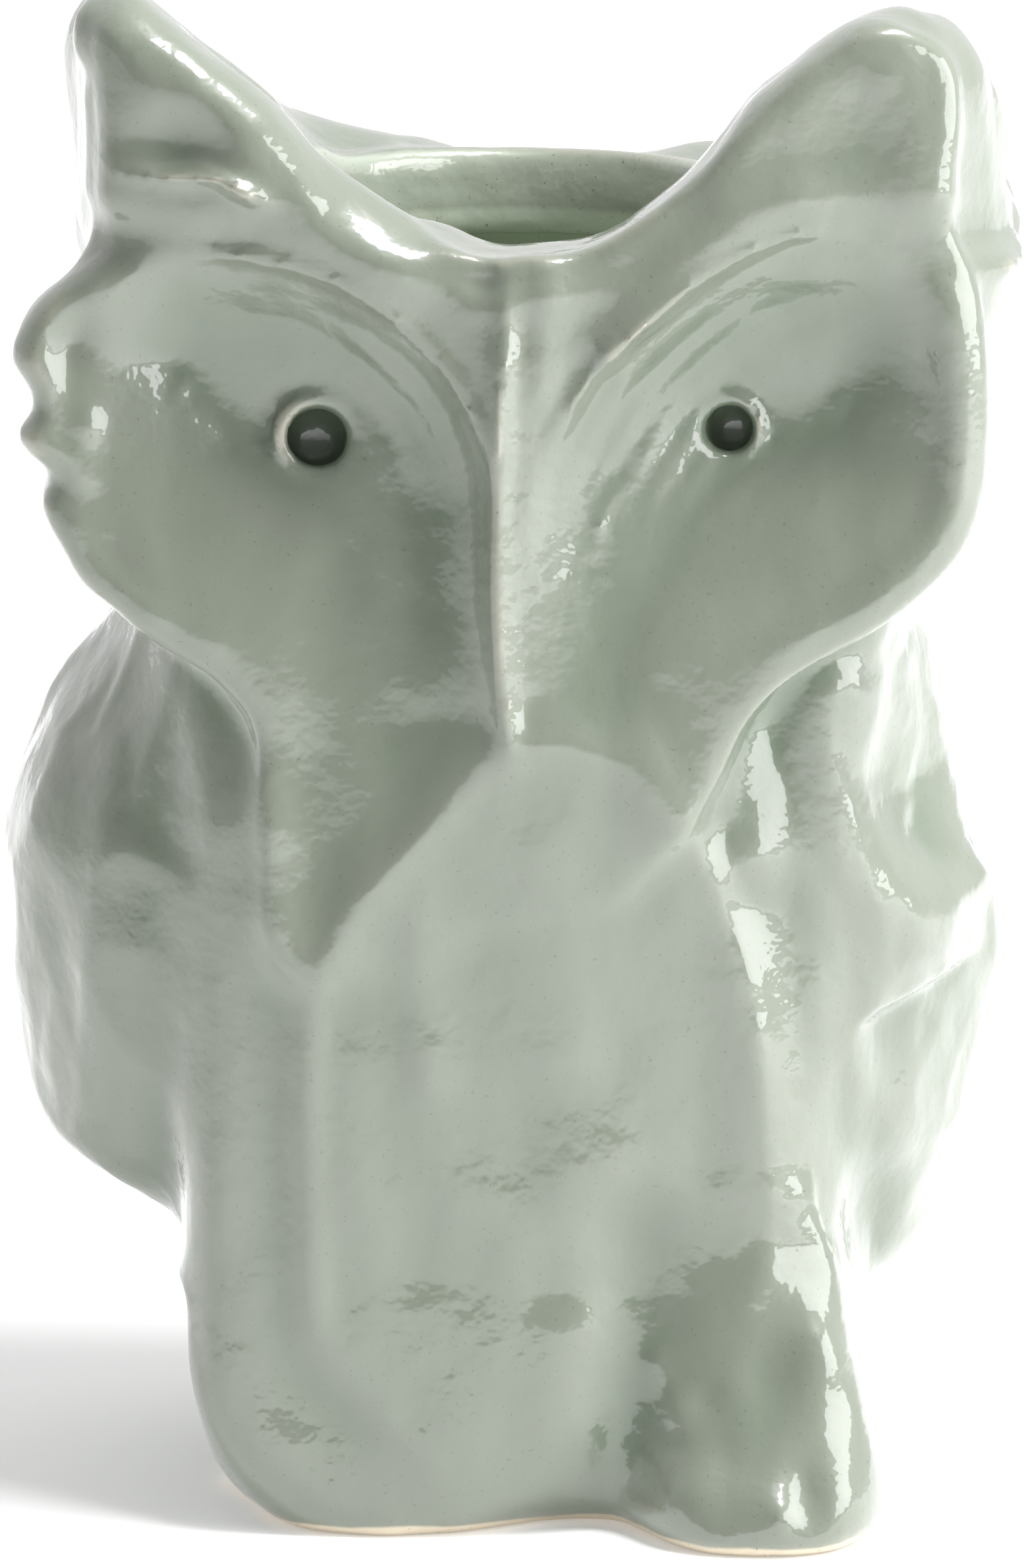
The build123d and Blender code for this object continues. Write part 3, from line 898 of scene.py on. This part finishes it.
def celadonGlaze():
    material = bpy.data.materials.new("celadonGlaze")
    material.use_nodes = True
    nodes = material.node_tree.nodes
    links = material.node_tree.links
    nodes.clear()

    def add(kind, **settings):
        node = nodes.new(kind)
        for name, value in settings.items():
            setattr(node, name, value)
        return node

    def mix(factor, a, b):
        node = add("ShaderNodeMix", data_type="RGBA")
        for socket, value in ((0, factor), (6, a), (7, b)):
            if isinstance(value, bpy.types.NodeSocket):
                links.new(value, node.inputs[socket])
            elif isinstance(value, tuple):
                node.inputs[socket].default_value = colour(value)
            else:
                node.inputs[socket].default_value = value
        return node.outputs[2]

    def ramp(value, low, high, to=(0, 1)):
        node = add("ShaderNodeMapRange", interpolation_type="SMOOTHSTEP")
        links.new(value, node.inputs[0])
        for socket, number in ((1, low), (2, high), (3, to[0]), (4, to[1])):
            node.inputs[socket].default_value = number
        return node.outputs[0]

    def combine(operation, a, b):
        node = add("ShaderNodeMath", operation=operation)
        for socket, value in ((0, a), (1, b)):
            if isinstance(value, bpy.types.NodeSocket):
                links.new(value, node.inputs[socket])
            else:
                node.inputs[socket].default_value = value
        return node.outputs[0]

    place = add("ShaderNodeTexCoord").outputs["Object"]

    def noise(scale, detail=3.0):
        node = add("ShaderNodeTexNoise")
        links.new(place, node.inputs["Vector"])
        node.inputs["Scale"].default_value = scale
        node.inputs["Detail"].default_value = detail
        return node.outputs["Fac"]

    sharp = add("ShaderNodeAttribute", attribute_name="sharp").outputs["Fac"]
    broad = add("ShaderNodeAttribute", attribute_name="broad").outputs["Fac"]
    cloud = noise(glaze["cloud"])
    pooled = combine("ADD", broad, combine("MULTIPLY", cloud, glaze["pooledCloud"]))
    thin = combine("ADD", sharp, combine("MULTIPLY", cloud, glaze["thinCloud"]))
    base = mix(ramp(pooled, *glaze["pooledFrom"]), glaze["body"], glaze["pooled"])
    thin = combine("MULTIPLY", ramp(thin, *glaze["thinFrom"]), glaze["thinShare"])
    base = mix(thin, base, glaze["thin"])
    # painted light: the hollow and the inner collar are painted pale in place of the light that reaches
    # them
    paintedInsideLight = add("ShaderNodeAttribute", attribute_name="paintedInsideLight").outputs["Fac"]
    base = mix(paintedInsideLight, base, glaze["inside"])
    height = add("ShaderNodeSeparateXYZ")
    links.new(place, height.inputs[0])
    size, high = glaze["bareWobble"]
    line = combine("ADD", height.outputs[2], combine("MULTIPLY", noise(size), high))
    bare = ramp(line, *glaze["bareFrom"])
    base = mix(bare, base, glaze["bareClay"])
    speck = ramp(noise(glaze["speckSize"], 1.0), *glaze["speckFrom"])
    base = mix(combine("MULTIPLY", speck, glaze["speckShare"]), base, glaze["speck"])

    shader = add("ShaderNodeBsdfPrincipled")
    links.new(base, shader.inputs["Base Color"])
    links.new(ramp(bare, 0, 1, glaze["roughness"]), shader.inputs["Roughness"])
    links.new(ramp(bare, 0, 1, glaze["coat"]), shader.inputs["Coat Weight"])
    shader.inputs["Coat Roughness"].default_value = glaze["coatRoughness"]
    shader.inputs["Coat IOR"].default_value = glaze["coatBend"]
    bump = add("ShaderNodeBump")
    bump.inputs["Strength"].default_value = glaze["rippleStrength"]
    bump.inputs["Distance"].default_value = glaze["rippleHigh"]
    links.new(noise(glaze["ripple"]), bump.inputs["Height"])
    links.new(bump.outputs[0], shader.inputs["Normal"])
    links.new(bump.outputs[0], shader.inputs["Coat Normal"])
    out = add("ShaderNodeOutputMaterial")
    links.new(shader.outputs[0], out.inputs[0])
    return material


owl.data.materials.append(celadonGlaze())
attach(owl, "root")
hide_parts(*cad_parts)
print("glaze ready")

# the studio: a white paper floor that glows behind the owl, two softboxes and a camera

studio = {
    "floorWide": 12.0,
    "paper": (0.92, 0.92, 0.92),
    "paperRoughness": 0.9,
    "paperShine": 0.1,
    "paperGlow": (0.22, 0.75),
    "glowFrom": 0.1,
    "glowTo": 1.6,
    "frontRoom": 0.27,
    "rearRoom": 0.9,
    "brightFrom": -0.55,
    "brightTo": 0.45,
    "lampsAim": (0, 0, 0.15),
}
camera = {
    "at": (0.0, -2.0, 0.51),
    "aim": (0.0, 0.0, 0.127),
    "lens": 249.9,
    "sensor": 36.0,
    "farthest": 20.0,
}
lights = (
    {"name": "highSoftbox", "at": (0.6, -0.25, 1.7), "size": (0.75, 0.5), "watts": 34},
    {"name": "rightSoftbox", "at": (1.05, -0.45, 0.52), "size": (0.95, 0.9), "watts": 13},
)


def paperFloor():
    half = studio["floorWide"] / 2
    corners = [(-half, -half, 0), (half, -half, 0), (half, half, 0), (-half, half, 0)]
    mesh = bpy.data.meshes.new("paperFloor")
    mesh.from_pydata(corners, [], [(0, 1, 2, 3)])
    floor = bpy.data.objects.new("paperFloor", mesh)
    bpy.context.collection.objects.link(floor)
    paper = bpy.data.materials.new("whitePaper")
    paper.use_nodes = True
    shader = paper.node_tree.nodes["Principled BSDF"]
    shader.inputs["Base Color"].default_value = colour(studio["paper"])
    shader.inputs["Roughness"].default_value = studio["paperRoughness"]
    shader.inputs["Specular IOR Level"].default_value = studio["paperShine"]
    shader.inputs["Emission Color"].default_value = (1, 1, 1, 1)
    place = paper.node_tree.nodes.new("ShaderNodeTexCoord")
    axes = paper.node_tree.nodes.new("ShaderNodeSeparateXYZ")
    glow = paper.node_tree.nodes.new("ShaderNodeMapRange")
    for socket, value in zip((1, 2, 3, 4), (studio["glowFrom"], studio["glowTo"], *studio["paperGlow"])):
        glow.inputs[socket].default_value = value
    paper.node_tree.links.new(place.outputs["Object"], axes.inputs[0])
    paper.node_tree.links.new(axes.outputs[1], glow.inputs[0])
    paper.node_tree.links.new(glow.outputs[0], shader.inputs["Emission Strength"])
    mesh.materials.append(paper)
    return floor


paperFloor()

for lamp in lights:
    data = bpy.data.lights.new(lamp["name"], "AREA")
    data.shape = "RECTANGLE"
    data.size, data.size_y = lamp["size"]
    data.energy = lamp["watts"]
    place = bpy.data.objects.new(lamp["name"], data)
    place.location = lamp["at"]
    aim = Vector(studio["lampsAim"]) - Vector(lamp["at"])
    place.rotation_euler = aim.to_track_quat("-Z", "Y").to_euler()
    bpy.context.collection.objects.link(place)

# the room is bright behind the owl and dark in front of it
world = bpy.data.worlds.new("room")
world.use_nodes = True
roomNodes = world.node_tree.nodes
towards = roomNodes.new("ShaderNodeTexCoord")
axes = roomNodes.new("ShaderNodeSeparateXYZ")
glow = roomNodes.new("ShaderNodeMapRange")
glow.interpolation_type = "SMOOTHSTEP"
for socket, number in ((1, "brightFrom"), (2, "brightTo"), (3, "frontRoom"), (4, "rearRoom")):
    glow.inputs[socket].default_value = studio[number]
world.node_tree.links.new(towards.outputs["Generated"], axes.inputs[0])
world.node_tree.links.new(axes.outputs[1], glow.inputs[0])
world.node_tree.links.new(glow.outputs[0], roomNodes["Background"].inputs["Strength"])
roomNodes["Background"].inputs["Color"].default_value = (1, 1, 1, 1)
bpy.context.scene.world = world
bpy.context.scene.view_settings.view_transform = "Standard"

lens = bpy.data.cameras.new("camera")
lens.lens = camera["lens"]
lens.sensor_width = camera["sensor"]
lens.clip_end = camera["farthest"]
view = bpy.data.objects.new("camera", lens)
view.location = camera["at"]
aim = Vector(camera["aim"]) - view.location
view.rotation_euler = aim.to_track_quat("-Z", "Y").to_euler()
bpy.context.collection.objects.link(view)
bpy.context.scene.camera = view
print("studio ready")
